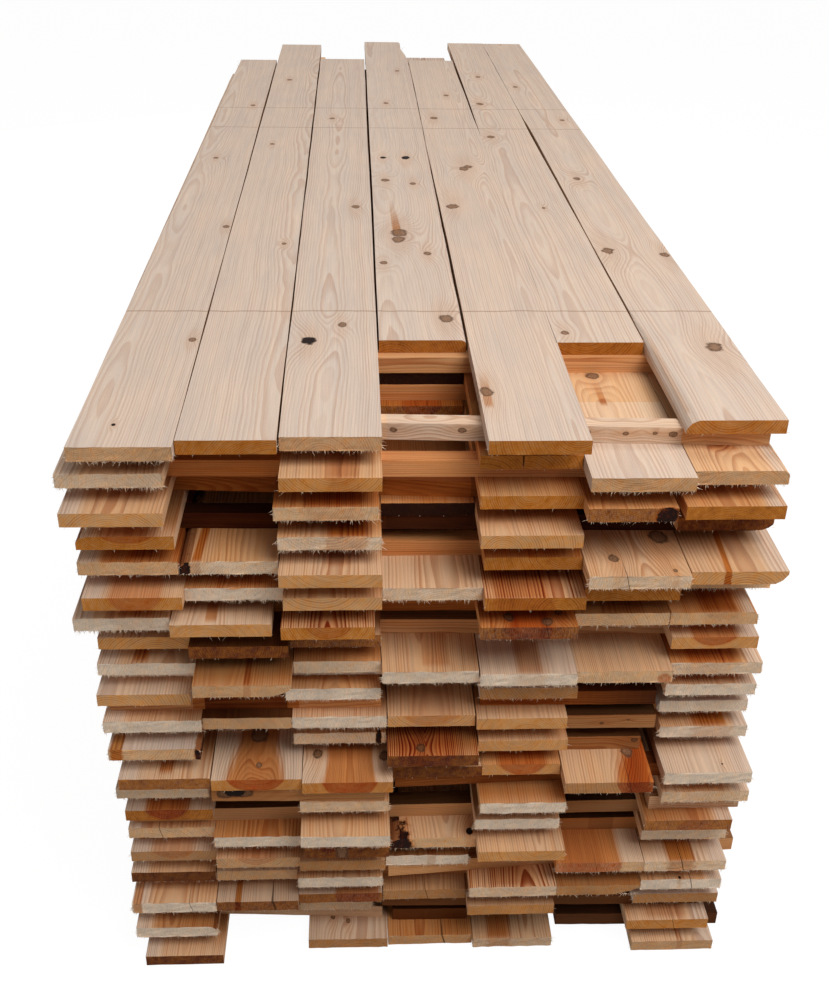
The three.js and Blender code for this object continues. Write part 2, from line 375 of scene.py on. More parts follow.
    # stains and knots
    stainX, stainWide, stainDeep = tree.parts(tree.mark('stain'))
    stainFrom, stainTo, slant = tree.parts(tree.mark('stainRun'))
    stainOff = abs(across - stainX - length * slant) / stainWide + (streak - 0.5) * 1.1 + warp * 0.8
    before, behind = form['stainStart']
    stained = tree.step(length, stainFrom + before, stainFrom + behind)
    stained = stained * (1 - tree.step(length, stainTo * 0.6, stainTo))
    stained = stained * (1 - tree.step(stainOff, *form['stainEdge']))
    resinWood = tree.wash(late * 0.7, tones['resin'], tones['late'])
    body = tree.wash(stained * stainDeep, body, resinWood)
    body = tree.wash(glowing * 0.75, body, tones['knotHalo'])
    knotWood = tree.mix(tree.step(grit, 0.48, 0.62) * 0.8, tones['knotCore'], tones['knotRim'])
    knotWood = tree.mix(rim * (0.4 + grit * 0.8), knotWood, tones['knotRim'])
    body = tree.mix(spot * 0.9, body, knotWood)
    # the holes of fallen-out knots are painted nearly black, as painted shade
    body = tree.mix(pit, body, tones['char'])

    # cracks
    crackX, crackLong, crackWide = tree.parts(tree.mark('crack'))
    crackRun = length / crackLong
    crackOff = abs(across - crackX + (grainNoise('split') - 0.5) * 4.0 + height * 0.25)
    crackThin = crackWide * 0.6 * (1 - crackRun.maths('MINIMUM', 1.0) * 0.8)
    crack = 1 - tree.step(crackOff / crackThin, *form['crackEdge'])
    crack = crack * (1 - tree.step(crackRun, 0.8, 1.0))
    body = tree.mix(crack * 0.8, body, tones['knotRim'])

    # charred patches with a rusty rim
    patchX, patchWide, patchLong = tree.parts(tree.mark('patch'))
    patchSide = (across - patchX) / patchWide
    patchRun = length / patchLong
    patchUp = (height + 3.0) / form['patchTall']
    patchOff = (patchSide * patchSide + patchRun * patchRun + patchUp * patchUp) ** 0.5
    patchOff = patchOff + (blotch - 0.5) * 1.1 + (warp + grit - 0.5) * 0.5
    scorched = tree.step(grit + (blotch - 0.5) * 0.5, 0.5, 0.7)
    body = tree.wash((1 - tree.step(patchOff, *form['patchRust'])) * 0.8, body, tones['resin'])
    patchWood = tree.mix(scorched, tones['char'], tones['scorch'])
    body = tree.mix(1 - tree.step(patchOff, *form['patchEdge']), body, patchWood)

    # bark and torn fibres
    mottled = tree.step(cloud + (blotch - 0.5) * 0.8, 0.5, 0.62)
    barkWood = tree.mix(mottled, tones['bark'], tones['barkDark'])
    barkWood = tree.wash(tree.step(fibre, 0.35, 0.7), barkWood, tones['bark'])
    body = tree.mix(bark, body, barkWood)
    body = tree.mix(fuzz * 0.9, body, tones['fibre'])

    # faint saw lines across the long faces
    for sawn in tree.parts(tree.mark('lines')):
        off = abs(length - sawn + (cloud - 0.5) * 14.0)
        line = (1 - tree.step(off, *form['sawLine'])) * (1 - onEnd)
        body = tree.mix(line * 0.62, body, tones['line'])

    # painted shade: the wood is darkened and tinted warm where other boards lie close, standing in for
    # their shadow and for light that has passed over wood
    span, covered, cover0 = tree.parts(tree.mark('span'))
    before, behind = form['shadeStart']
    inside = tree.step(length, cover0 + before, cover0 + behind) * covered
    inside = inside * tree.step(span - length, *form['shadeEnd'])
    # the painted shade stays off the ends and is weaker along the open outer strips
    inside = inside * (1 - onEnd) * (1 - bare * 0.8)
    # the darkness that the looks give is laid on through the same painted shade
    deep = dark.atLeast(-fuzz * onEnd)
    shade = (1 - deep) * (1 - inside * 0.45).atLeast(0.03)
    onFace = (fibre - 0.5) * 0.55 + (cloud * 0.5 + streak * 0.4 - 0.45) * (0.1 + stripes)
    onCut = (hairs - 0.5) * (0.15 + rough * 0.1) + (blotch + cloud - 1) * 0.6
    onCut = onCut + (grit - 0.5) * (0.3 - rough * 0.15)
    shade = shade * (1.02 + onFace * (1 - onEnd) + onCut * onEnd + (grit - 0.5) * 0.24)
    # painted shade is tinted warm like light bounced off the wood, and the warmth mark lays on that tint
    # alone
    shadeTint = tree.mix(inside.atLeast(deep).atLeast(warm), (1, 1, 1), tones['shadow'])
    body = tree.wash(1.0, body, tree.wash(1.0, tree.vector(shade, shade, shade), shadeTint))

    ripple = (length * form['ripple'] + warp * 14.0).maths('SINE') * 0.5
    relief = fibre * 0.3 + late * 0.12 + ripple * 0.05 + grit * 0.15
    relief = relief + (grit + hairs) * onEnd * rough * 0.35
    bumpInputs = {'Strength': 0.6, 'Distance': form['bumpDistance'], 'Height': relief}
    shader = tree.add('ShaderNodeBsdfPrincipled', None, {
        'Base Color': body,
        'Roughness': 0.72 + grit * 0.2,
        'Specular IOR Level': 0.12,
        'Normal': tree.add('ShaderNodeBump', None, bumpInputs),
    })
    tree.add('ShaderNodeOutputMaterial', None, {'Surface': shader})
    return tree.owner


boardWood = makeWood('boardWood', woodTones, 'y')
stickerWood = makeWood('stickerWood', woodTones, 'x')
print('wood materials made')


# The stack, and how its boards are found in the outlines of the layers.
stack = {
    'layers': 21,
    'columns': 7,
    'pitch': 153.5 * mm,
    'faceY': -1.65,
    'frontZone': 0.465,      # only board ends lie this near the face
    'rearZone': 2.585,
}


def readBoards(layer):
    node = 'board_layer_%02d' % layer
    low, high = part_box(node)
    corners = set()
    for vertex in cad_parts[node].data.vertices:
        if vertex.co.z < low.z + 0.5 * mm:
            corners.add((round(vertex.co.x, 4), round(vertex.co.y, 4)))
    front = sorted(c for c in corners if c[1] < stack['faceY'] + stack['frontZone'])
    rear = sorted(c for c in corners if c[1] > stack['faceY'] + stack['rearZone'])
    boards = []
    for left, right, back in zip(front[::2], front[1::2], rear[::2]):
        middle = (left[0] + right[0]) / 2
        column = int(middle / stack['pitch'] + stack['columns'] / 2) + 1
        boards.append({'layer': layer, 'column': column, 'x0': left[0], 'x1': right[0],
                       'y0': left[1], 'y1': back[1], 'z0': low.z})
    return boards


# One row for each layer from the top, one pair of letters for each board.
# First the end: w white and torn, g pale and torn, r rough tan, f faded brown, s smooth tan,
# m and y more golden, o orange, n deep tan, b brown, c and k dark brown, x nearly black with painted
# shade.
# Then the top: a weathered, p pale, t tan, y golden, o orange, b brown, z striped, d and x in shade.
# Two dots stand for a board that lies far back, darkened with painted shade.
looks = [
    'ra ya fa oa ya ya ma',
    'gt .. mt xb yo fa ft',
    'st .. ro bb yy by yy',
    'yt .. gt x. st .. cd',
    'ro gy st .. yo gt st',
    'mt wo st gt yz yt rt',
    'wt sp yz .. bo rd ro',
    'st cx bt .. .. .. st',
    'wt fd gy wt wp rt go',
    'sp .. wy .. na .. wt',
    'wt fx wt st st .. wa',
    'ra .. gt cd st .. wt',
    'bt mp mp ct so nd wp',
    'gp .. gt .. wd .. gt',
    'op .. wt .. wt .. bd',
    'rt wo ct rt st .. gt',
    'np ft nt wd .. rp gp',
    'kt fp wt .. gz nd wt',
    'wt bp bp nd st .. na',
    'wd .. gt .. .. .. mt',
    'ct .. np fo gt .. ft',
]
endLooks = {
    'w': {'tone': 0.02, 'rough': 1.0},
    'g': {'tone': 0.18, 'rough': 0.85},
    'r': {'tone': 0.32, 'rough': 0.65},
    'f': {'tone': 0.36, 'rough': 0.5, 'deep': 0.12},
    's': {'tone': 0.46, 'rough': 0.15},
    'm': {'tone': 0.57, 'rough': 0.12},
    'y': {'tone': 0.68, 'rough': 0.1},
    'o': {'tone': 0.75, 'rough': 0.2},
    'n': {'tone': 0.4, 'rough': 0.4, 'deep': 0.3},
    'b': {'tone': 0.85, 'rough': 0.4},
    'c': {'tone': 0.94, 'rough': 0.15, 'deep': 0.1},
    'k': {'tone': 0.9, 'rough': 0.3, 'deep': 0.4},
    'x': {'tone': 1.0, 'rough': 0.2, 'deep': 0.85},
    '.': {'tone': 0.75, 'rough': 0.2, 'dark': 0.85},
}
topLooks = {
    'a': {'tone': 0.05, 'stripes': 0.16, 'resin': 0.0},
    'p': {'tone': 0.2, 'stripes': 0.35, 'resin': 0.1},
    't': {'tone': 0.37, 'stripes': 0.5, 'resin': 0.3},
    'y': {'tone': 0.52, 'stripes': 0.5, 'resin': 0.4},
    'o': {'tone': 0.64, 'stripes': 0.6, 'resin': 0.5},
    'b': {'tone': 0.76, 'stripes': 0.6, 'resin': 0.4},
    'z': {'tone': 0.4, 'stripes': 1.0, 'resin': 0.7},
    'd': {'tone': 0.44, 'stripes': 0.5, 'resin': 0.4, 'dim': 0.3},
    'x': {'tone': 0.6, 'stripes': 0.4, 'resin': 0.3, 'dim': 1.0},
    '.': {'tone': 0.6, 'stripes': 0.3, 'resin': 0.2, 'dim': 0.8},
}

# What single boards show beyond that, in mm from the middle of the front end.
# Knots: place across and along, and radius, which is negative where the knot has fallen out.
knots = {
    '1.1': [(60, 398, 6), (60, 1035, 8), (-18, 72, -3), (-20, 1620, 8), (30, 2250, 8)],
    '1.2': [(-29, 2623, 9), (40, 900, 5), (-35, 1750, 7)],
    '1.3': [(-44, 364, -15), (14, 437, 8), (38, 1159, 10), (-30, 2050, 8)],
    '1.4': [(-25, 556, 15), (-22, 600, 18), (32, 463, 10), (-59, 406, 8), (15, 1239, -11),
            (-43, 1238, -9), (47, 101, 13), (-42, 1020, 11), (24, 990, 9), (-20, 1900, 9),
            (30, 2420, 9)],
    '1.5': [(-47, 1178, 17), (5, 1512, 15), (18, 1530, 12), (-64, 170, 12), (-37, 2081, 12),
            (20, 2400, 9)],
    '1.6': [(-56, 45, 7), (-45, 1481, 13), (-37, 1908, 12), (-5, 2335, 10), (10, 800, 6)],
    '1.7': [(38, 286, 17), (-54, 800, 16), (61, 775, 11), (-28, 1358, 12), (-53, 2477, 10),
            (30, 2000, 8)],
    '2.6': [(-17, 366, 12)],
    '2.7': [(-10, 108, 7)],
    '5.6': [(51, 113, 15), (-32, 50, 9), (56, 15, 4)],
    '7.5': [(-30, 30, 12), (30, 14, 9), (52, 40, 8)],
    '12.4': [(-20, 20, 10)],
    '13.2': [(-2, 112, 18), (3, 36, 6)],
    '13.3': [(-51, 72, 11), (62, 65, 11)],
    '13.6': [(43, 78, 13)],
    '13.7': [(29, 22, -1.6)],
    '16.3': [(-8, 2, 13)],
    '16.4': [(66, 14, -6)],
    '18.7': [(-2, 5, -3)],
    '21.3': [(-29, 53, 5), (0, 43, 4)],
}

# Hearts: place of the pith across and up, then the size of the heart and its depth of colour.
hearts = {
    '2.3': (6, 50, 42, 0.3), '3.4': (10, 30, 40, 0.8), '4.1': (0, 60, 62, 0.7),
    '6.1': (6, 24, 42, 0.65), '7.3': (0, 26, 38, 0.4), '7.5': (0, 8, 52, 0.9), '8.7': (0, 44, 50, 0.9),
    '9.6': (66, -4, 10, 0.9), '11.4': (0, 60, 70, 0.4), '12.4': (-10, 20, 50, 0.6),
    '13.2': (2, 30, 54, 1.0), '13.3': (4, 30, 56, 1.0), '13.5': (0, 34, 46, 0.9),
    '13.6': (74, 16, 60, 1.0), '15.1': (-6, 30, 40, 1.0), '15.7': (10, -20, 34, 0.5),
    '16.3': (-8, 30, 46, 1.0), '17.1': (0, 40, 46, 0.6), '17.2': (0, 40, 44, 0.5),
    '17.6': (-22, 6, 64, 1.0), '19.3': (30, 10, 40, 0.9),
}

# Stains: a resinous streak, its middle and half width, where it starts and ends, its depth of
# colour and how it drifts sideways.
stains = {
    '1.4': (0, 8, 590, 900, 1.0, -0.042), '1.5': (-64, 7, 120, 260, 0.7, 0),
    '1.7': (-68, 4, 40, 420, 0.35, 0), '2.1': (30, 14, 20, 150, 0.4, 0),
    '2.3': (20, 24, 4, 160, 0.6, 0), '2.6': (-17, 6, 255, 372, 1.0, 0),
    '2.7': (-10, 26, 70, 200, 0.7, 0), '3.3': (10, 46, 6, 160, 0.8, 0), '4.3': (26, 34, 4, 160, 1.0, 0),
    '5.1': (20, 16, 16, 120, 0.7, 0), '5.2': (-50, 8, 5, 200, 1.0, 0.06),
    '5.3': (10, 22, 30, 140, 0.5, 0), '5.7': (-18, 6, -20, 300, 1.0, 0.07),
    '6.2': (10, 40, 12, 120, 0.5, 0), '6.5': (-20, 50, 2, 200, 0.8, 0), '7.1': (20, 34, 8, 120, 0.8, 0),
    '7.2': (-16, 9, 14, 150, 0.8, 0), '7.6': (0, 34, 10, 160, 0.7, 0), '7.7': (14, 34, 8, 160, 0.9, 0),
    '9.1': (-10, 15, 10, 120, 0.9, 0), '9.2': (8, 6, 4, 200, 0.8, 0), '9.4': (10, 24, 20, 160, 0.5, 0),
    '9.5': (5, 26, 6, 160, 0.7, 0), '9.7': (-10, 44, 6, 160, 0.8, 0), '10.7': (5, 50, 16, 160, 0.7, 0),
    '11.7': (10, 30, 10, 160, 0.7, 0), '12.1': (-62, 10, -20, 100, 1.0, 0.05),
    '12.7': (14, 36, 6, 160, 1.0, 0), '13.1': (0, 12, 20, 160, 0.9, 0),
    '13.6': (52, 22, -20, 200, 0.8, 0.1), '14.7': (0, 40, 8, 120, 0.7, 0),
    '15.1': (0, 40, 4, 120, 0.6, 0), '17.4': (7, 8, 5, 60, 0.8, 0), '17.6': (-30, 40, -20, 400, 0.4, 0),
    '17.7': (-8, 26, 2, 200, 1.0, 0), '18.5': (0, 50, 8, 160, 0.6, 0),
    '19.1': (-66, 8, -10, 200, 0.8, 0), '19.2': (-36, 6, -10, 200, 1.0, 0),
    '20.7': (0, 46, 10, 160, 0.5, 0), '21.5': (-25, 22, 4, 160, 0.9, 0),
    '21.7': (14, 5, 4, 120, 0.6, -0.1),
}

# Cracks: place across, length and width.
cracks = {
    '5.6': (-18, 50, 1.3), '7.5': (30, 60, 1.2), '13.6': (36, 80, 1.2), '16.1': (-20, 60, 1.3),
    '17.6': (-6, 50, 0.8), '17.7': (-4, 50, 2), '18.7': (20, 30, 1.6), '19.1': (30, 60, 1.0),
    '19.2': (30, 60, 4), '19.4': (4, 30, 1.3), '20.7': (12, 120, 1.0), '21.4': (25, 60, 3),
}

# Patches: charred spots, their place across, width and length.
patches = {
    '3.6': (52, 16, 6), '5.2': (-70, 12, 110), '12.1': (75, 8, 60), '12.3': (66, 5, 12),
    '16.4': (-56, 22, 50),
}

# The rest: open is how far from the front the top lies open, so its painted shade starts no nearer, run is
# its tone along the board.
otherNotes = {
    '2.4': {'run': ((0, 0.92), (300, 0.92))},
    '2.6': {'open': 390, 'run': ((0, 0.06), (180, 0.1), (250, 0.4), (600, 0.44))},
    '2.7': {'open': 360},
    '12.4': {'stripes': 1.2},
    '13.2': {'stripes': 0.55},
    '13.3': {'stripes': 0.5},
}


def notesFor(name):
    tables = {'knots': knots, 'heart': hearts, 'stain': stains, 'crack': cracks, 'patch': patches}
    note = dict(otherNotes.get(name, {}))
    note.update({kind: table[name] for kind, table in tables.items() if name in table})
    return note


# Boards whose tops stay light right up to the board above, as their painted shade starts further back.
litTops = ('2.3 3.1 5.3 6.1 8.7 9.1 9.7 10.1 11.7 12.1 13.1 '
           '13.2 13.5 14.7 15.1 16.5 17.1 18.2 19.3 19.7 21.7').split()

# Board edges that follow the round of the log, on the upper or the lower corner.
# wide and deep: what is missing of the section; swing: where along the board it swells.
wanes = [
    {'board': '1.7', 'side': -1, 'wide': 20, 'deep': 17, 'swing': 0.4, 'fade': 0.16, 'clean': True},
    {'board': '1.4', 'side': 1, 'wide': 8, 'deep': 6, 'swing': 1.9, 'clean': True},
    {'board': '4.1', 'side': -1, 'wide': 12, 'deep': 11, 'swing': 0.9},
    {'board': '5.2', 'side': -1, 'wide': 18, 'deep': 14, 'swing': 2.6},
    {'board': '12.1', 'side': 1, 'wide': 12, 'deep': 12, 'swing': 3.1},
    {'board': '16.4', 'side': -1, 'wide': 22, 'deep': 16, 'swing': 1.2},
    {'board': '20.1', 'side': 1, 'wide': 14, 'deep': 13, 'swing': 0.2},
    {'board': '4.7', 'side': 1, 'wide': 16, 'deep': 12, 'swing': 1.0, 'under': True},
    {'board': '5.7', 'side': 1, 'wide': 18, 'deep': 18, 'swing': 1.2, 'under': True, 'clean': True},
    {'board': '9.2', 'side': 1, 'wide': 34, 'deep': 16, 'swing': 1.0, 'under': True},
    {'board': '18.6', 'side': 1, 'wide': 52, 'deep': 20, 'swing': 1.4, 'under': True, 'clean': True},
    {'board': '2.7', 'side': 1, 'wide': 9, 'deep': 9, 'swing': 0.6, 'clean': True},
    {'board': '7.7', 'side': 1, 'wide': 8, 'deep': 9, 'swing': 1.6, 'clean': True},
]


# How a wane swells and shrinks along the board: amount and number of turns.
waneSwell = {
    'least': 0.62,
    'slow': (0.28, 5.1),
    'quick': (0.1, 13.7),
    'lip': (0.3, 0.45),     # the bend in its profile, as shares of its width and depth
}


def missingDepth(board, side, under, gap, t):
    # how much of the section's height is missing at a distance from the board's edge
    total = np.zeros_like(gap)
    slow, slowTurns = waneSwell['slow']
    quick, quickTurns = waneSwell['quick']
    lipWide, lipDeep = waneSwell['lip']
    for wane in wanes:
        if (wane['board'], wane['side'], wane.get('under', False)) != (board['name'], side, under):
            continue
        swell = waneSwell['least'] + slow * math.sin(slowTurns * t + wane['swing'])
        swell += quick * math.sin(quickTurns * t + 2 * wane['swing'])
        swell *= 1 - min(t / wane.get('fade', 9), 0.9)
        wide = wane['wide'] * swell * mm
        deep = wane['deep'] * math.sqrt(swell) * mm
        total += np.interp(gap, [0, wide * lipWide, wide], [deep, deep * lipDeep, 0])
    return total


sawnBoard = {
    'thick': 23 * mm,
    'across': (0, 0.012, 0.05, 0.12, 0.2, 0.3, 0.4, 0.5, 0.6, 0.7, 0.8, 0.88, 0.95, 0.988, 1),
    'rise': (0, 0.1, 0.35, 0.65, 0.9, 1),
    'fromFront': (0, 2, 6, 14, 28, 50, 80, 120, 180, 260, 360, 480),
    'fromRear': (480, 260, 120, 60, 28, 10, 0),
    'upperStep': 90,     # length of the middle panels in mm, for the top layer
    'lowerStep': 420,    # and for the rest
    'edgeWander': 0.7 * mm,
    'ragged': (0.12, 0.6),   # unevenness of an end in mm, smooth, and how much more when rough
    'lostCorner': {'board': '1.4', 'run': (0.9, 0.94), 'wide': 20 * mm},   # missing at its far end
    'swell': 1.1 * mm,   # each side reaches this far into the slot beside it
    'topSwell': 0.2 * mm,
}


class Pile:
    # gathers many bodies into one mesh; every face carries marks that the wood shader reads
    def __init__(self):
        self.points = []
        self.faces = []
        self.marks = {name: [] for name in markNames}
        self.count = 0

    def add(self, points, faces, marks):
        # nothing reaches past the solids of the frame
        points = np.clip(np.asarray(points, float), cadBox[0], cadBox[1])
        self.points.append(points)
        self.faces.extend([tuple(i + self.count for i in face) for face in faces])
        for name in markNames:
            value = np.asarray(marks[name], float)
            if value.ndim == 1:
                value = np.tile(value, (len(faces), 1))
            self.marks[name].append(value)
        self.count += len(points)

    def make(self, name, material):
        mesh = bpy.data.meshes.new(name)
        mesh.from_pydata(np.concatenate(self.points).tolist(), [], self.faces)
        for mark in markNames:
            layer = mesh.attributes.new(mark, 'FLOAT_VECTOR', 'FACE')
            layer.data.foreach_set('vector', np.concatenate(self.marks[mark]).ravel())
        mesh.materials.append(material)
        piece = bpy.data.objects.new(name, mesh)
        bpy.context.scene.collection.objects.link(piece)
        return piece


def boxRing(across, rise):
    # the section's outline: along the underside, up the right side, back over the top, down the left
    ring = [(u, 0.0) for u in across]
    ring += [(1.0, v) for v in rise[1:]]
    ring += [(u, 1.0) for u in reversed(across[:-1])]
    ring += [(0.0, v) for v in reversed(rise[1:-1])]
    return ring


def tubeFaces(stations, size):
    faces = []
    for s in range(stations - 1):
        for i in range(size):
            j = (i + 1) % size
            a = s * size
            faces.append((a + i, a + j, a + size + j, a + size + i))
    return faces


def capFaces(across, rise, ringStart, inner, flip):
    # a grid over one end; the rim is the ring and the inner points follow it
    nu, nv = len(across), len(rise)
    size = 2 * (nu - 1) + 2 * (nv - 1)

    def index(i, k):
        if k == 0:
            return ringStart + i
        if i == nu - 1:
            return ringStart + nu - 1 + k
        if k == nv - 1:
            return ringStart + (nu - 1) + (nv - 1) + (nu - 1 - i)
        if i == 0:
            return ringStart + size - k
        return inner + (i - 1) * (nv - 2) + (k - 1)

    faces = []
    for i in range(nu - 1):
        for k in range(nv - 1):
            quad = (index(i, k), index(i, k + 1), index(i + 1, k + 1), index(i + 1, k))
            faces.append(quad[::-1] if flip else quad)
    return faces


def smoothWander(rng, along, amount, waves=4):
    # a gentle wandering line
    total = np.zeros(len(along))
    for n in range(waves):
        wave = rng.uniform(0.25, 1.6) / (n + 1) ** 0.7
        total += rng.uniform(0.3, 1) / (n + 1) * np.sin(2 * math.pi * along / wave + rng.uniform(0, 6.28))
    return total * amount


def sectionPoints(board, left, right, t, ring, y):
    # points of one cross-section, with the missing corners taken off
    x = left + (right - left) * ring[:, 0]
    upper = np.zeros(len(ring))
    lower = np.zeros(len(ring))
    for side, gap in ((-1, x - left), (1, right - x)):
        upper += missingDepth(board, side, False, gap, t)
        lower += missingDepth(board, side, True, gap, t)
    z = board['z0'] + lower + (sawnBoard['thick'] - upper - lower) * ring[:, 1]
    return np.stack([x, y, z], 1)


# How the seams of the top layer open and close: distance from the middle of the stack in m,
# and how much wider than the sawn slot the seam is there in mm.
topSeams = {
    1: ((-1.65, -1.6), (-0.4, -1.6), (0.2, 0), (1.3, 0.6)),
    2: ((-1.65, -0.4), (-0.6, 0), (0.1, 1.5), (1.4, 2)),
    3: ((-1.3, -0.6), (-0.8, 0.6), (0, 2.4), (1.1, 2), (1.4, 0.6)),
    4: ((-1.3, 0.4), (-0.6, 0.6), (-0.2, -0.6), (0.1, -2.5), (1.4, -2.5)),
    5: ((-1.3, -2.2), (0.2, -2), (0.6, 3), (1.2, 5), (1.4, 6)),
    6: ((-1.3, 0), (-0.7, -0.8), (-0.2, 1), (0.2, 4.5), (0.36, 2), (0.46, -2.7), (1.7, -2.7)),
}


def boardSides(board, along, long, leftWander, rightWander):
    # where the sides of a board lie at a distance from its front end
    t = along / long
    swell = sawnBoard['topSwell'] if board['layer'] == 1 else sawnBoard['swell']
    left = board['x0'] - swell + leftWander + board['splay'][0] * t
    right = board['x1'] + swell + rightWander + board['splay'][1] * t
    if board['layer'] == 1:
        for seam, side in ((board['column'] - 1, 1), (board['column'], -1)):
            if seam not in topSeams:
                continue
            wider = np.interp(board['y0'] + along, *zip(*topSeams[seam])) * mm / 2
            left += wider if side > 0 else 0
            right -= wider if side < 0 else 0
    lost = sawnBoard['lostCorner']
    if board['name'] == lost['board']:
        right -= np.interp(t, lost['run'], (0, lost['wide']))
    return left, right


def boardMesh(board, rough, rng):
    spec = sawnBoard
    across, rise = spec['across'], spec['rise']
    ring = np.array(boxRing(across, rise))
    grid = np.array([(u, v) for u in across[1:-1] for v in rise[1:-1]])
    long = board['y1'] - board['y0']
    step = (spec['upperStep'] if board['layer'] == 1 else spec['lowerStep']) * mm
    first, last = spec['fromFront'][-1] * mm, long - spec['fromRear'][0] * mm
    middle = np.linspace(first, last, max(int((last - first) / step), 2) + 1)[1:-1]
    stations = [d * mm for d in spec['fromFront']]
    stations += list(middle)
    stations += [long - d * mm for d in spec['fromRear']]
    along = np.array(stations)
    leftWander = smoothWander(rng, along, spec['edgeWander'])
    rightWander = smoothWander(rng, along, spec['edgeWander'])
    smooth, torn = spec['ragged']
    ragged = (smooth + torn * rough) * mm
    points = []
    for s, d in enumerate(along):
        y = np.full(len(ring), board['y0'] + d)
        if s in (0, len(along) - 1):
            y += np.array([rng.gauss(0, 1) for _ in ring]) * ragged
        left, right = boardSides(board, d, long, leftWander[s], rightWander[s])
        points.append(sectionPoints(board, left, right, d / long, ring, y))
    faces = tubeFaces(len(along), len(ring))
    count = len(along) * len(ring)
    for s, flip in ((0, False), (len(along) - 1, True)):
        y = board['y0'] + along[s] + np.array([rng.gauss(0, 1) for _ in grid]) * ragged * 0.7
        left, right = boardSides(board, along[s], long, leftWander[s], rightWander[s])
        points.append(sectionPoints(board, left, right, along[s] / long, grid, y))
        faces += capFaces(across, rise, s * len(ring), count, flip)
        count += len(grid)
    return np.concatenate(points), faces


splinters = {
    'perBoard': 420,
    'sparse': 1.6,       # the power of an end's roughness that they follow
    'long': (0.8 * mm, 8.5 * mm),
    'wide': (0.22 * mm, 0.75 * mm),
    'bunch': 0.06,       # how often their length changes from one stretch of the edge to the next
    'fromSides': 9,      # every ninth hangs from a side
}


def splinterMesh(board, rough, rng, yEnd, outward):
    # torn fibres that hang from the lower edge of a rough sawn end
    points, faces = [], []
    shortest, longest = splinters['long']
    stretch = 1.0
    for n in range(int(splinters['perBoard'] * rough ** splinters['sparse'])):
        if rng.random() < splinters['bunch']:
            stretch = rng.uniform(0.25, 1.5)
        x = rng.uniform(board['x0'] + 0.5 * mm, board['x1'] - 0.5 * mm)
        z = board['z0'] + rng.uniform(0.1, 2.2) * mm
        fall = (rng.gauss(0, 0.45), -1)
        if n % splinters['fromSides'] == 0:
            side = rng.choice((-1, 1))
            x = board['x0'] if side < 0 else board['x1']
            z = board['z0'] + rng.uniform(0.05, 0.8) * sawnBoard['thick']
            fall = (side, rng.uniform(-0.8, 0.2))
        if outward > 0:
            x += np.mean(board['splay'])
        long = shortest + (longest - shortest) * rng.random() ** 2 * stretch
        wide = rng.uniform(*splinters['wide'])
        y = yEnd - outward * rng.uniform(0.2, 2.2) * mm
        tip = (x + fall[0] * long, y + outward * rng.uniform(0.1, 1.0) * mm, z + fall[1] * long)
        base = len(points)
        points += [(x - wide, y, z), (x + wide, y, z), (x, y - outward * wide, z + wide), tip]
        faces += [(base, base + 2, base + 1), (base, base + 1, base + 3),
                  (base + 1, base + 2, base + 3), (base + 2, base, base + 3)]
    return points, faces


nowhere = (0, -9000, 1)
plainMarks = {
    'knotA': nowhere,
    'knotB': nowhere,
    'knotC': nowhere,
    'edge': (0, 0, 0),
    'crack': (0, 1, 0.01),
    'patch': (-500, 1, 1),
    'stain': (0, 1, 0),
    'stainRun': (0, 1, 0),
    'lines': (-9000, -9000, -9000),
    'bare': (0, 0, 0),
}

# How far painted shade and weathering reach on the boards, in mm, and how deep they are.
shadeAndWeather = {
    'cover': (1.1, 0.8),     # shade between boards, and what a dim look adds to it
    'dimReach': 140,
    'litReach': 26,
    'sideReach': 150,        # light comes in this far from the sides of the stack
    'sideCover': 0.4,
    'greyReach': 160,
    'greyTone': 0.04,
    'topDeep': 0.12,         # the ends of the top layer are deeper in colour
    # lowDim is painted shade on the middle boards of the lowest layers
    'lowDim': 0.16,          # and the middle boards of the lowest layers dimmer
    'lowLayer': 18,
    'rearTone': 0.6,         # far ends are no browner than this
}


def sideBySide(count, *values):
    # three values as one mark for each face
    return np.stack([np.broadcast_to(value, count) for value in values], 1)


def nearestKnots(places, along):
    # for every face the three knots that lie nearest to it along the board
    places = np.array(list(places) + [nowhere] * 3, float)
    order = np.argsort(np.abs(places[None, :, 1] - along[:, None]), axis=1)[:, :3]
    return {'knot' + letter: places[order[:, n]] for n, letter in enumerate('ABC')}


def shadeMarks(board, dim, opening, centres, upright):
    # how deep the shade is on each face and where it starts, and which faces lie open above
    middle = (board['x0'] + board['x1']) / 2
    leftSide = upright & (centres[:, 0] < middle)
    rightSide = upright & (centres[:, 0] > middle)
    outer = leftSide if board['column'] == 1 else rightSide & (board['column'] == stack['columns'])
    plain, added = shadeAndWeather['cover']
    covered = np.where(outer, 0.0, plain + added * dim)
    cover0 = np.full(len(centres), max(board['overhang'], 0) / mm - shadeAndWeather['dimReach'] * dim)
    cover0 = np.where(leftSide, np.maximum(cover0, board['beside'][0] / mm), cover0)
    cover0 = np.where(rightSide, np.maximum(cover0, board['beside'][1] / mm), cover0)
    cover0 = np.maximum(cover0, opening)
    if dim == 1:
        cover0[:] = -shadeAndWeather['dimReach']
    if board['name'] in litTops:
        cover0 += shadeAndWeather['litReach']
    fromSide = np.minimum(centres[:, 0] - board['outer'][0], board['outer'][1] - centres[:, 0]) / mm
    inward = np.clip(fromSide / shadeAndWeather['sideReach'], 0, 1)
    covered = covered * (shadeAndWeather['sideCover'] + (1 - shadeAndWeather['sideCover']) * inward)
    rise = centres[:, 2] - board['z0']
    if board['layer'] == 1:
        covered = np.where((rise > sawnBoard['thick'] * 0.1) & ~upright, 0.0, covered)
    facingUp = (rise > sawnBoard['thick'] * 0.9) & ~upright
    return covered, cover0, facingUp


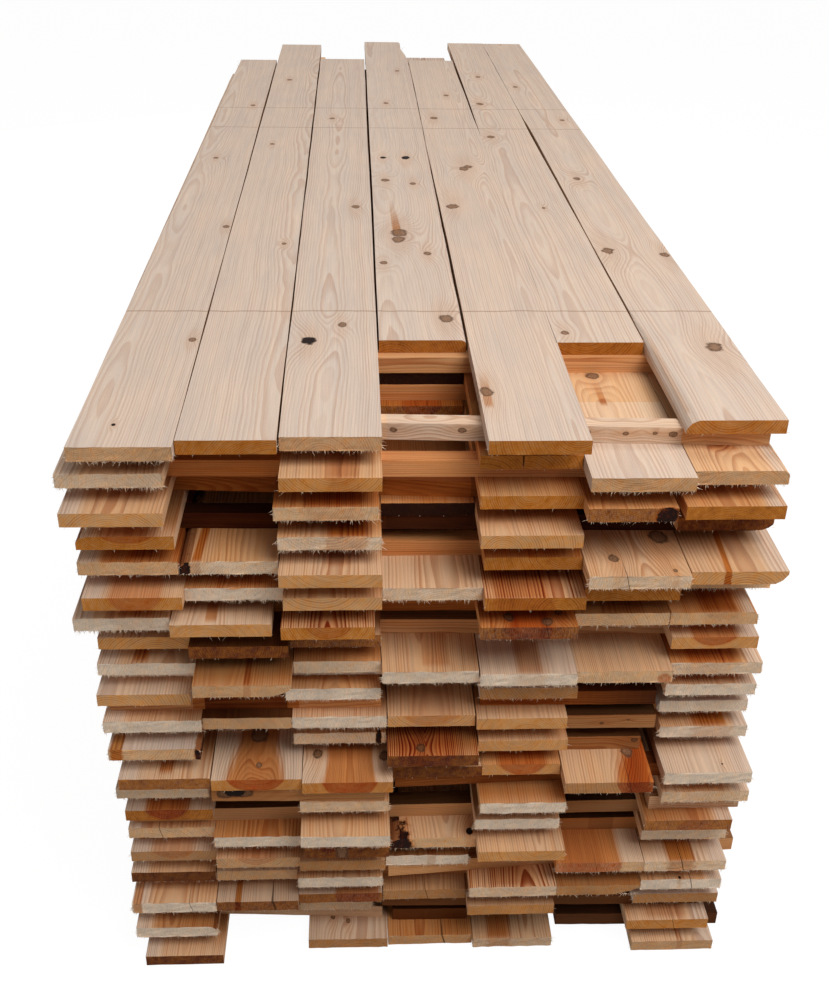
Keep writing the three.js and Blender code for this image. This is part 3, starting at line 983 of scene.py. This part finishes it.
def barkMark(board, centres, along, long):
    # 1 on the faces of a natural edge that kept its bark
    bark = np.zeros(len(centres))
    high = (centres[:, 2] - board['z0']) / sawnBoard['thick']
    for wane in wanes:
        if wane['board'] != board['name'] or wane.get('clean'):
            continue
        gap = centres[:, 0] - board['x0'] if wane['side'] < 0 else board['x1'] - centres[:, 0]
        facing = high < 0.55 if wane.get('under') else high > 0.3
        edge = wane['wide'] * 0.8 * (1 - np.minimum(along / long / wane.get('fade', 9), 0.9)) * mm
        bark = np.where((gap < edge) & facing & (along > 0.5), 1.0, bark)
    return bark


def boardMarks(board, end, top, note, rng, points, faces):
    count = len(faces)
    centres = np.array([np.mean([points[i] for i in face], axis=0) for face in faces])
    along = (centres[:, 1] - board['y0']) / mm
    long = (board['y1'] - board['y0']) / mm
    knotPlaces = note.get('knots')
    if knotPlaces is None:
        knotPlaces = []
        for _ in range(rng.randint(1, 4)):
            knotPlaces.append((rng.uniform(-60, 60), rng.uniform(500, long - 100), rng.uniform(4, 8)))
    pith = (rng.uniform(-60, 60), rng.choice((-1, 1)) * rng.uniform(16, 70))
    heart = (0, 0)
    if 'heart' in note:
        pith = note['heart'][:2]
        heart = note['heart'][2:]
    # sides and ends stand upright, also where a natural edge leans
    corners = np.array([[points[i] for i in face[:2]] for face in faces])
    slope = np.abs(corners[:, 1] - corners[:, 0])
    upright = slope[:, 2] > 2 * slope[:, 0]
    opening = note.get('open', -999)
    covered, cover0, facingUp = shadeMarks(board, top.get('dim', 0), opening, centres, upright)
    # what lies open behind the board above has greyed
    openBy = (centres[:, 1] - board['upperEnd']) / mm
    greyed = facingUp * np.clip(openBy / shadeAndWeather['greyReach'] + 0.4, 0, 1)
    drift = rng.uniform(-0.05, 0.05) * (0.3 if board['layer'] == 1 else 1)
    topTone = np.interp(along, *zip(*note['run'])) if 'run' in note else top['tone'] + drift
    topTone = topTone + (shadeAndWeather['greyTone'] - topTone) * greyed
    endTone = end['tone'] + rng.uniform(-0.04, 0.04)
    seed = rng.random()
    # deep colour and dimness, laid on as painted shade, belong to the front ends alone
    inFront = along < long / 2
    inside = 1 < board['column'] < stack['columns']
    deep = max(end.get('deep', 0), shadeAndWeather['topDeep'] * (board['layer'] == 1))
    dark = max(end.get('dark', 0), shadeAndWeather['lowDim'] * (board['layer'] > shadeAndWeather['lowLayer'] and inside))
    endTone = np.where(inFront, endTone, min(endTone, shadeAndWeather['rearTone']))
    stripes = note.get('stripes', top['stripes'])
    outerSide = (board['column'] == stack['columns']) - (board['column'] == 1)
    stain = note.get('stain', (0, 1, 0, 1, 0, 0))
    marks = dict(plainMarks)
    marks.update({
        'origin': ((board['x0'] + board['x1']) / 2, board['y0'], board['z0'] + sawnBoard['thick'] / 2),
        'pith': (*pith, rng.uniform(2.6, 4.6)),
        'heart': (*heart, seed),
        'tone': sideBySide(count, topTone, endTone, dark * inFront),
        'finish': sideBySide(count, end['rough'], stripes, -deep * inFront),
        'edge': sideBySide(count, barkMark(board, centres, along, long), top['resin'], 0),
        'stain': (stain[0], stain[1], stain[4]),
        'stainRun': (stain[2], stain[3], stain[5]),
        'span': sideBySide(count, long, covered * (1 - greyed), cover0),
        'bare': sideBySide(count, outerSide * (board['layer'] > 1), facingUp, 0),
    })
    for name in ('crack', 'patch', 'lines'):
        marks[name] = note.get(name, marks[name])
    marks.update(nearestKnots(knotPlaces, along))
    return marks


# Faint saw lines that run over the top layer, in mm from the face of the stack.
sawLines = (523, 1955, 2209)

# How far the edges and seams of the top layer have drifted sideways at its far end, in mm.
topSplay = (8, -15, -11, -4, 0, 8, -8, -19)


def makeLayer(layer):
    pile = Pile()
    row = looks[layer - 1].split()
    boards = readBoards(layer)
    upper = {board['column']: board for board in readBoards(max(layer - 1, 1))}
    for number, board in enumerate(boards):
        rng = random.Random(layer * 100 + number)
        board['name'] = '%d.%d' % (layer, board['column'])
        endLetter, topLetter = row[board['column'] - 1]
        end, top = endLooks[endLetter], topLooks[topLetter]
        board['overhang'] = upper[board['column']]['y0'] - board['y0']
        board['upperEnd'] = upper[board['column']]['y1'] if layer > 1 else 9
        board['beside'] = [boards[i]['y0'] - board['y0'] if 0 <= i < len(boards) else 0
                           for i in (number - 1, number + 1)]
        board['splay'] = (0, 0)
        board['outer'] = (boards[0]['x0'], boards[-1]['x1'])
        if layer == 1:
            board['splay'] = (topSplay[number] * mm, topSplay[number + 1] * mm)
        note = notesFor(board['name'])
        if layer == 1:
            note['lines'] = [line - (board['y0'] - stack['faceY']) / mm for line in sawLines]
        points, faces = boardMesh(board, end['rough'], rng)
        marks = boardMarks(board, end, top, note, rng, points, faces)
        pile.add(points, faces, marks)
        for yEnd, outward in ((board['y0'], -1), (board['y1'], 1)):
            points, faces = splinterMesh(board, end['rough'], rng, yEnd, outward)
            if not faces:
                continue
            # fibres take after the first face of their board, and are plain otherwise
            fuzzMarks = {name: value if np.ndim(value) == 1 else value[0] for name, value in marks.items()}
            fuzzMarks.update(plainMarks, finish=(end['rough'], 0, 1), span=(1, 0, 1))
            pile.add(points, faces, fuzzMarks)
    piece = pile.make('boards%02d' % layer, boardWood)
    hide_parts('board_layer_%02d' % layer)
    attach(piece, 'root')


for layer in range(1, stack['layers'] + 1):
    makeLayer(layer)
print('boards laid')


# The stickers, which keep the layers apart.
sticker = {
    'tall': 28.7 * mm,
    'deep': 32 * mm,
    'rows': (364, 1003, 1642, 2281, 2920),   # inner rows, in mm from the face of the stack
    'inset': 8 * mm,
    'across': (0, 0.06, 0.3, 0.7, 0.94, 1),
    'rise': (0, 0.08, 0.5, 0.92, 1),
    'stations': 24,
    'worn': 0.25,        # unevenness of the edges in mm
    'cover': 0.7,        # shade on the inner rows
    'coverFrom': 60.0,
}

# Looks of the front stickers that stand out: tone and dimness, which is mostly painted shade, as one
# number or as pairs of a place from the left end and a number, painted shade on the upper face, warmth of
# that shade, and knots from the left end.
stickerLooks = {
    '01': {'tone': ((0, 0.5), (425, 0.5), (435, 0.1), (890, 0.16), (920, 0.48)), 'dark': 0.0, 'over': 0.0,
           'warm': 0.1,
           'knots': [(464, 3, 6), (570, 4, 5), (764, 4, 4), (822, 3, 4), (867, 4, 3), (895, 3, 5)]},
    '02': {'tone': ((0, 0.64), (440, 0.64), (450, 0.42), (1100, 0.5)), 'dark': 0.0, 'over': 0.0,
           'warm': 0.8},
    '03': {'tone': 0.82, 'over': 0.1,
           'dark': ((0, 0.1), (440, 0.1), (450, 0.0), (600, 0.0), (620, 0.5), (1000, 0.9))},
    '04': {'tone': 0.9, 'dark': ((0, 0.76), (440, 0.76), (450, 0.84))},
    '05': {'tone': 0.6, 'dark': 0.0, 'over': 0.0},
    '06': {'tone': 0.6, 'dark': 0.1},
    '07': {'tone': 0.8, 'dark': 0.3},
    '08': {'tone': 0.46, 'dark': 0.0},
    '09': {'tone': 0.2, 'dark': 0.0, 'warm': 0.1},
    '10': {'tone': ((0, 0.4), (140, 0.4), (155, 0.96), (298, 0.96), (310, 0.5)),
           'dark': ((0, 0.1), (140, 0.1), (155, 0.25), (298, 0.25), (310, 0.1)), 'warm': 0.7},
    '10_right': {'tone': 0.85, 'dark': ((0, 0.12), (120, 0.15), (160, 0.45), (290, 0.8)), 'warm': 0.7},
    '11': {'tone': 0.5, 'dark': 0.1},
    '11_right': {'tone': 0.5, 'dark': 0.45, 'over': 0.78, 'knots': [(205, -4, 3), (250, 3, 2)]},
    '12_right': {'tone': 0.58, 'dark': 0.45, 'over': 0.75, 'knots': [(258, 6, 5)]},
    '13': {'tone': 0.5, 'dark': 0.42, 'knots': [(38, 8, -13), (24, 3, 12), (56, 4, 11)]},
    '13_right': {'tone': 0.9, 'dark': 0.35},
    '14': {'tone': 0.52, 'dark': ((0, 0.25), (735, 0.25), (750, 0.5))},
    '14_right': {'tone': 0.3, 'dark': 0.15},
    '15': {'tone': 0.5, 'dark': ((0, 0.2), (740, 0.2), (760, 0.5)), 'over': 0.85},
    '16': {'tone': 0.66, 'dark': ((0, 0.34), (800, 0.34), (830, 0.5), (900, 0.2)), 'over': 0.85},
    '17_right': {'tone': 0.5, 'dark': 0.1},
    '18': {'tone': 0.6, 'dark': 0.2},
    '19': {'tone': 0.7, 'dark': 0.6},
    '19_right': {'tone': 0.66, 'dark': 0.78},
    '20': {'tone': 0.3, 'dark': 0.2},
    '20_middle': {'tone': 0.7, 'dark': 0.8},
    '20_right': {'tone': 0.66, 'dark': 0.86},
}


def stickerMesh(bar, rng):
    # a bar with slightly worn edges; its grain runs along X
    across, rise = sticker['across'], sticker['rise']
    ring = np.array(boxRing(across, rise))
    grid = np.array([(u, v) for u in across[1:-1] for v in rise[1:-1]])
    count = sticker['stations']

    def section(t, shape, shift):
        front = bar['yLeft'] + (bar['yRight'] - bar['yLeft']) * t
        x = np.full(len(shape), bar['x0'] + (bar['x1'] - bar['x0']) * t)
        y = front + bar['deep'] * (1 - shape[:, 0]) + shift
        z = bar['z0'] + (bar['z1'] - bar['z0']) * shape[:, 1]
        return np.stack([x, y, z], 1)

    points = []
    for s in range(count):
        points.append(section(s / (count - 1), ring, rng.gauss(0, sticker['worn']) * mm))
    faces = tubeFaces(count, len(ring))
    total = count * len(ring)
    for s, flip in ((0, False), (count - 1, True)):
        points.append(section(s / (count - 1), grid, 0))
        faces += capFaces(across, rise, s * len(ring), total, flip)
        total += len(grid)
    return np.concatenate(points), faces


def stickerMarks(bar, look, rng, points, faces, covered):
    centres = np.array([np.mean([points[i] for i in face], axis=0) for face in faces])
    along = (centres[:, 0] - bar['x0']) / mm
    long = (bar['x1'] - bar['x0']) / mm
    # their knots are written as along and up
    knotPlaces = [(up, far, size) for far, up, size in look.get('knots', [])]

    def spread(value):
        return np.interp(along, *zip(*value)) if isinstance(value, tuple) else np.full(len(faces), value)

    facingUp = centres[:, 2] > bar['z1'] - 0.2 * mm
    # painted shade: the dimness, and more of it on the upper face under the board above
    light = (1 - spread(look['dark'])) * np.where(facingUp, 1 - look.get('over', 0.6), 1)
    middleY = (bar['yLeft'] + bar['yRight'] + bar['deep']) / 2
    marks = dict(plainMarks)
    marks.update({
        'origin': (bar['x0'], middleY, (bar['z0'] + bar['z1']) / 2),
        'pith': (rng.uniform(-40, 40), rng.choice((-1, 1)) * rng.uniform(10, 50), rng.uniform(2.5, 4)),
        'heart': (0, 0, rng.random()),
        'tone': np.stack([spread(look['tone']), spread(look['tone']), 1 - light], 1),
        'finish': (0.3, 0.5, 0),
        # the warmth tints the painted shade like light bounced off the wood
        'edge': (0, 0.3, look.get('warm', 0.3)),
        'span': (long, covered, sticker['coverFrom']),
    })
    marks.update(nearestKnots(knotPlaces, along))
    return marks


def readBar(node):
    low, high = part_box(node)
    corners = [vertex.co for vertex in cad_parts[node].data.vertices]
    left = [corner.y for corner in corners if corner.x < low.x + 0.5 * mm]
    right = [corner.y for corner in corners if corner.x > high.x - 0.5 * mm]
    return {'x0': low.x, 'x1': high.x, 'yLeft': min(left), 'yRight': min(right),
            'deep': max(left) - min(left), 'z0': low.z, 'z1': high.z}


def makeFrontSticker(node):
    tag = node.replace('front_sticker_', '')
    rng = random.Random('front' + tag)
    look = stickerLooks.get(tag, {'tone': rng.uniform(0.45, 0.7), 'dark': 0.25})
    bar = readBar(node)
    pile = Pile()
    points, faces = stickerMesh(bar, rng)
    pile.add(points, faces, stickerMarks(bar, look, rng, points, faces, 0.0))
    piece = pile.make('frontSticker' + tag, stickerWood)
    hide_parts(node)
    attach(piece, 'root')


def makeInnerStickers(level):
    rng = random.Random(7000 + level)
    over, under = readBoards(level), readBoards(level + 1)
    top = under[0]['z0'] + sawnBoard['thick']
    pile = Pile()
    for number, row in enumerate(sticker['rows']):
        y = stack['faceY'] + row * mm
        bar = {'x0': max(over[0]['x0'], under[0]['x0']) + sticker['inset'],
               'x1': min(over[-1]['x1'], under[-1]['x1']) - sticker['inset'],
               'yLeft': y, 'yRight': y, 'deep': sticker['deep'], 'z0': top, 'z1': top + sticker['tall']}
        long = (bar['x1'] - bar['x0']) / mm
        lit = number == 0 and level < 3
        # the sides of the stack let light in
        shade = ((0, 0.05), (110, 0.5), (long - 110, 0.5), (long, 0.05))
        look = {'tone': rng.uniform(0.45, 0.7), 'dark': 0.0 if lit else shade, 'over': 0.0 if lit else 0.7}
        points, faces = stickerMesh(bar, rng)
        cover = 0.0 if lit else sticker['cover']
        pile.add(points, faces, stickerMarks(bar, look, rng, points, faces, cover))
    piece = pile.make('innerStickers%02d' % level, stickerWood)
    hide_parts('board_layer_%02d' % (level + 1))
    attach(piece, 'root')


for node in sorted(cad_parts):
    if node.startswith('front_sticker_'):
        makeFrontSticker(node)
for level in range(1, stack['layers']):
    makeInnerStickers(level)
print('stickers laid')


studio = {
    'worldLight': 0.22,
    'floorReach': 14,
    'floorDrop': 0.5 * mm,
    'floorColour': (0.6, 0.59, 0.57),
    'floorGlow': 1.1,        # what is seen of the floor is mostly its own pale light
    'floorShare': 0.88,
}
lamps = {
    'keyLamp': {'place': (1.8, -3.3, 4.4), 'target': (0, -1.0, 0.6), 'size': 3.2, 'power': 157},
    'fillLamp': {'place': (0.7, 1.5, 5.5), 'target': (0, 0.4, 1), 'size': 3.2, 'power': 85},
    # low, so that it leaves the top layer alone
    'sideLamp': {'place': (-2.6, -2.9, 0.9), 'target': (-0.3, -1.6, 0.5), 'size': 1.2, 'power': 5},
    'rearLamp': {'place': (-1.8, 4.6, 1.5), 'target': (0, 1.4, 0.5), 'size': 3.2, 'power': 30},
}


def seenRay(tree):
    # 1 for the rays that show what lies around the stack, 0 for those that light it
    path = tree.add('ShaderNodeLightPath').socket.node.outputs
    rays = [Wire(tree, path[name]) for name in ('Is Camera Ray', 'Is Glossy Ray', 'Is Transmission Ray')]
    return (rays[0] + rays[1] + rays[2]).maths('MINIMUM', 1.0)


def makeFloor():
    tree = Tree(bpy.data.materials.new('paleFloor'))
    matte = tree.add('ShaderNodeBsdfDiffuse', None, {'Color': studio['floorColour']})
    glow = tree.add('ShaderNodeEmission', None, {'Color': (1, 1, 1), 'Strength': studio['floorGlow']})
    share = seenRay(tree) * studio['floorShare']
    blend = tree.add('ShaderNodeMixShader', None, {0: share, 1: matte, 2: glow})
    tree.add('ShaderNodeOutputMaterial', None, {'Surface': blend})
    mesh = bpy.data.meshes.new('floor')
    reach = studio['floorReach']
    corners = [(-reach, -reach, 0), (reach, -reach, 0), (reach, reach, 0), (-reach, reach, 0)]
    mesh.from_pydata(corners, [], [(0, 1, 2, 3)])
    mesh.materials.append(tree.owner)
    floor = bpy.data.objects.new('floor', mesh)
    floor.location.z = -studio['floorDrop']
    bpy.context.scene.collection.objects.link(floor)


def makeWorld():
    tree = Tree(bpy.data.worlds.new('studioWorld'))
    level = seenRay(tree) * (1 - studio['worldLight']) + studio['worldLight']
    backdrop = tree.add('ShaderNodeBackground', None, {'Color': (1, 1, 1), 'Strength': level})
    tree.add('ShaderNodeOutputWorld', None, {'Surface': backdrop})
    bpy.context.scene.world = tree.owner


def makeLamp(name, place, target, size, power):
    data = bpy.data.lights.new(name, 'AREA')
    data.shape = 'DISK'
    data.size = size
    data.energy = power
    lamp = bpy.data.objects.new(name, data)
    lamp.location = place
    lamp.rotation_euler = (Vector(target) - Vector(place)).to_track_quat('-Z', 'Y').to_euler()
    bpy.context.scene.collection.objects.link(lamp)


makeFloor()
makeWorld()
for name, lamp in lamps.items():
    makeLamp(name, **lamp)
bpy.context.scene.view_settings.view_transform = 'Standard'
print('floor and lamps set')
